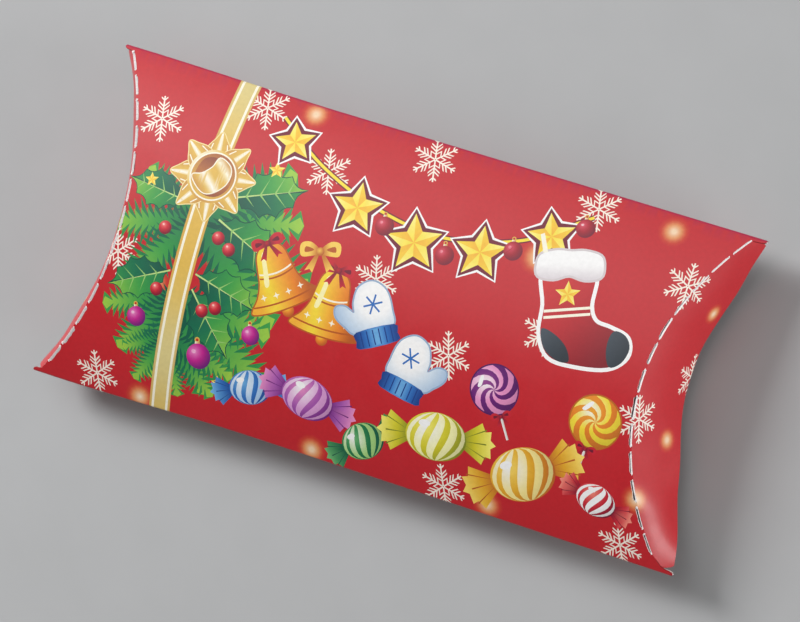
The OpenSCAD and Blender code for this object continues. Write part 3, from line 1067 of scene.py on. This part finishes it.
def printed_material():
    """Coated board under ink and varnish: fine mottle in the ink, and a varnish with a slight orange peel."""
    made, tree, shader = material("printed_coated_board", RED, 0.38)
    ink = node(tree, "Attribute", attribute_name="ink").outputs["Color"]
    mottle = spread(tree, grain(tree, 900, 4), 0.955, 1.03)
    tint = node(tree, "VectorMath", [(0, ink), (1, mottle)], operation="MULTIPLY").outputs[0]
    tree.links.new(tint, shader.inputs["Base Color"])
    tree.links.new(spread(tree, grain(tree, 140, 4), 0.33, 0.46), shader.inputs["Roughness"])
    shader.inputs["Coat Weight"].default_value = 0.15
    shader.inputs["Coat Roughness"].default_value = 0.2
    peel = node(tree, "Bump", [("Strength", 0.12), ("Distance", 0.00004), ("Height", grain(tree, 2200, 2))])
    wave = node(tree, "Bump", [("Strength", 0.25), ("Distance", 0.0006), ("Height", grain(tree, 38, 1)),
                               ("Normal", peel.outputs[0])])
    tree.links.new(wave.outputs[0], shader.inputs["Normal"])
    tree.links.new(wave.outputs[0], shader.inputs["Coat Normal"])
    return made


def bare_material():
    """Uncoated white inside, with fibres and a few specks."""
    made, tree, shader = material("bare_white_board", rgb(236, 233, 226), 0.85)
    fibrous = grain(tree, 1500, 5, (1, 0.25, 1))
    mixed(tree, shader, spread(tree, fibrous, 0, 1), rgb(222, 218, 208), rgb(243, 241, 236))
    tree.links.new(spread(tree, grain(tree, 600, 3), 0.78, 0.92), shader.inputs["Roughness"])
    bumped(tree, shader, fibrous, 0.35, 0.00006)
    return made


def raw_edge_material():
    """Cut edge of the board: layered white fibres, a little bruised by the knife."""
    made, tree, shader = material("raw_board_edge", rgb(240, 236, 230), 0.9)
    layers = grain(tree, 5200, 4)
    mixed(tree, shader, spread(tree, layers, 0, 1), rgb(232, 222, 222), rgb(255, 253, 252))
    bumped(tree, shader, layers, 0.6, 0.00008)
    return made


def tab_material():
    """Uncoated board of the glue tab, with fibres along the box."""
    made, tree, shader = material("bare_tab_board", rgb(234, 231, 223), 0.86)
    fibrous = grain(tree, 1400, 5, (0.25, 1, 1), solid=True)
    mixed(tree, shader, spread(tree, fibrous, 0, 1), rgb(220, 215, 205), rgb(243, 240, 234))
    bumped(tree, shader, fibrous, 0.35, 0.00006)
    return made


def glue_material():
    """Dried cold glue: a cream film with ripples from the roller and small voids."""
    made, tree, shader = material("dried_glue", rgb(228, 218, 190), 0.4)
    ripples = grain(tree, 700, 2, (0.1, 1, 1), solid=True)
    voids = spread(tree, grain(tree, 1900, 4, solid=True), 0, 1, 0.42, 0.5)
    mixed(tree, shader, voids, rgb(205, 190, 152), rgb(234, 225, 200))
    tree.links.new(spread(tree, ripples, 0.3, 0.55), shader.inputs["Roughness"])
    bumped(tree, shader, ripples, 0.5, 0.00003)
    return made


printed, bare, raw_edge = printed_material(), bare_material(), raw_edge_material()
for solid, made in (("glue_tab", tab_material()), ("glue_film", glue_material())):
    mesh = bpy.data.objects[solid].data
    mesh.materials.clear()
    mesh.materials.append(made)

# The pieces

right_front = Perforation(11, shift=1.5, gaps=(0.8, 0.8, 0.5))
left_front = Perforation(12, shift=1.2, gaps=(0.85, 0.55, 0.75))
right_back, left_back = Perforation(13), Perforation(14)

board("front_panel", panel_outline(on_front_crease, right_front, left_front, V_NEAR, V_FAR), front_face,
      crease=crease_u)
board("back_panel", panel_outline(on_back_crease, right_back, left_back, V_BACK, V_END), back_face,
      crease=inner_crease_u)


def strip_outline(low_v, high_v, edge, pitch=1.5):
    """Outline of a side fold, which runs from tip to tip."""
    start, end = -HALF_LENGTH - EARS["left", edge], HALF_LENGTH + EARS["right", edge]
    u = np.linspace(start, end, round((end - start) / pitch) + 1)
    return np.concatenate([np.stack([u, 0 * u + low_v], 1), np.stack([u[::-1], 0 * u + high_v], 1)])


board("near_side_fold", strip_outline(V_BACK, V_NEAR, "near"), near_fold_face, pitch=0.3)
board("far_side_fold", strip_outline(V_FAR, V_TAB, "far"), far_fold_face, pitch=0.3)


def sprung(v):
    """The right outer flap bulges, and stands open near its ends, most at its near corner, in degrees."""
    near = 7 * eased((3 - v) / 24) + 34 * np.clip((-24 - v) / 20, 0, 1) ** 1.8
    far = 3 * eased((v - 22) / 12) + 7 * np.clip((v - 34) / 9.5, 0, 1) ** 2
    average = near + far - 2.3 * (1 - eased((np.abs(v - 4) - 6) / 16))
    bulge = 10 - 6 * eased((v - 24) / 16) - 8 * eased((-4 - v) / 12)
    hinged = average + bulge + (37 - average - bulge) * eased((-21 - v) / 11)
    return np.radians(hinged), np.radians(average)


def tucked(v):
    """The left outer flap bulges too, and stands a little open at both ends, in degrees."""
    average = 5 * eased((np.abs(v) - 10) / 20) + 12 * np.clip((np.abs(v) - 33) / 10.5, 0, 1) ** 2
    return np.radians(average + 8), np.radians(average)


def outer_flap(side_name, holes, side, opened):
    outline = flap_outline(on_front_crease, holes, outer_depth, FLAP_HALF_RUN, side)
    fold = Fold(side_name + "_outer", side, 1, crease_u, reach=8.4, lean=0.15)
    board(side_name + "_outer_flap", outline, lambda u, v, lift: outer_flap_face(u, v, lift, side, opened),
          pitch=1.0, fold=fold)


def inner_flap(side_name, holes, side):
    outline = flap_outline(on_back_crease, holes, inner_depth, INNER_HALF_RUN, side)
    fold = Fold(side_name + "_inner", side, -1, inner_crease_u, reach=6.0, lean=0.35)
    board(side_name + "_inner_flap", outline, lambda u, v, lift: inner_flap_face(u, v, lift, side),
          pitch=1.0, fold=fold)


outer_flap("right", right_front, 1, sprung)
outer_flap("left", left_front, -1, tucked)
inner_flap("right", right_back, 1)
inner_flap("left", left_back, -1)


# Flecks of torn board: radius, height over the print, the top's share of the foot, place inside the crease
FLECK_R, FLECK_HIGH, FLECK_TOP, FLECK_IN, FLECK_CORNERS = (0.22, 0.42), (0.06, 0.14), 0.65, 0.25, 9


def fibres(name, on_crease, face, holes, side):
    """White flecks of torn board at both ends of each slot, on the panel's side of the crease."""
    corners = FLECK_CORNERS
    points, faces = [], []
    for centre in holes.centres:
        for end in (-1, 1):
            run = centre + end * (SLOT / 2 - holes.random.uniform(-0.15, 0.2))
            u, v = on_crease(np.array([run]))
            middle = np.array([u[0] - FLECK_IN, v[0]])
            radius = holes.random.uniform(*FLECK_R) * (1 + 0.35 * holes.random.uniform(-1, 1, corners))
            torn = arc((0, 0), 1.0, steps=corners) * radius[:, None] * (0.8, 1.15)
            low, high = middle + torn, middle + FLECK_TOP * torn
            base = face(side * low[:, 0], low[:, 1], -0.05)[0]
            top = face(side * high[:, 0], high[:, 1], holes.random.uniform(*FLECK_HIGH, corners))[0]
            top[:, 2] = np.maximum(top[:, 2], 0)
            first, last = len(points), len(points) + corners
            points += widened(base).tolist() + widened(top).tolist()
            around = [(i, (i + 1) % corners) for i in range(corners)][::side]
            faces += [(first + i, first + j, last + j, last + i)[::side] for i, j in around]
            faces.append(tuple(range(last, last + corners))[::side])
    points = np.array(points) * MM
    mesh = bpy.data.meshes.new(name)
    mesh.from_pydata(points.tolist(), [], faces)
    blank = points[np.concatenate(faces), :2].astype(np.float32)
    mesh.uv_layers.new(name="blank").uv.foreach_set("vector", blank.ravel())
    mesh.materials.append(raw_edge)
    piece = added(name, mesh)
    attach(piece, "sleeve")


for crease, on_crease, face, right, left in (
        ("_crease_fibres", on_front_crease, front_face, right_front, left_front),
        ("_back_crease_fibres", on_back_crease, back_face, right_back, left_back)):
    fibres("right" + crease, on_crease, face, right, 1)
    fibres("left" + crease, on_crease, face, left, -1)

# Stage, light and camera

FLOOR = rgb(180, 181, 182)
FLOOR_HALF = 3.0


def floor():
    made, tree, shader = material("studio_floor", FLOOR, 0.7)
    mixed(tree, shader, spread(tree, grain(tree, 60, 6, solid=True), 0, 1), FLOOR * 0.992, FLOOR * 1.006)
    mesh = bpy.data.meshes.new("studio_floor")
    half = FLOOR_HALF
    corners = [(-half, -half, 0), (half, -half, 0), (half, half, 0), (-half, half, 0)]
    mesh.from_pydata(corners, [], [(0, 1, 2, 3)])
    mesh.materials.append(made)
    added("studio_floor", mesh)


def soft_box(name, way, distance, size, level):
    """A soft box that faces the box's middle; a white surface that faces it shows the level given."""
    light = bpy.data.lights.new(name, "AREA")
    light.shape = "RECTANGLE"
    light.size, light.size_y = size
    light.energy = level * (math.pi * distance) ** 2
    piece = added(name, light)
    way = Vector(way).normalized()
    piece.location = way * distance + Vector((0, 0, MID * MM))
    piece.rotation_euler = way.to_track_quat("Z", "Y").to_euler()


def camera():
    """The photograph's view: rotation angles, and offset in box lengths, fitted to the box's outline."""
    turn_x, turn_y, turn_z = 0.0754, -0.3382, -0.3068
    offset = Vector((-0.0146, 0.0092, -6.3452)) * BOX_LENGTH * MM
    focal_pixels, width_pixels = 4500, 800
    turn = Matrix.Rotation(turn_z, 3, "Z") @ Matrix.Rotation(turn_y, 3, "Y") @ Matrix.Rotation(turn_x, 3, "X")
    data = bpy.data.cameras.new("camera")
    data.sensor_width = 36
    data.lens = focal_pixels / width_pixels * data.sensor_width
    piece = added("camera", data)
    back = turn.transposed()
    piece.matrix_world = Matrix.Translation(-(back @ offset) + Vector((0, 0, MID * MM))) @ back.to_4x4()
    bpy.context.scene.camera = piece


floor()
soft_box("left_soft_box", (-0.77, 0.33, 0.55), distance=1.5, size=(0.5, 0.5), level=0.93)
soft_box("top_soft_box", (-0.33, 0.45, 0.83), distance=1.1, size=(1.0, 1.1), level=0.28)
soft_box("right_soft_box", (0.97, -0.1, 0.2), distance=1.2, size=(0.9, 0.4), level=0.7)
camera()
world = bpy.data.worlds.new("studio")
world.use_nodes = True
background = world.node_tree.nodes["Background"].inputs
background["Color"].default_value = (1, 1, 1, 1)
background["Strength"].default_value = 0.13
bpy.context.scene.world = world
bpy.context.scene.view_settings.view_transform = "Standard"
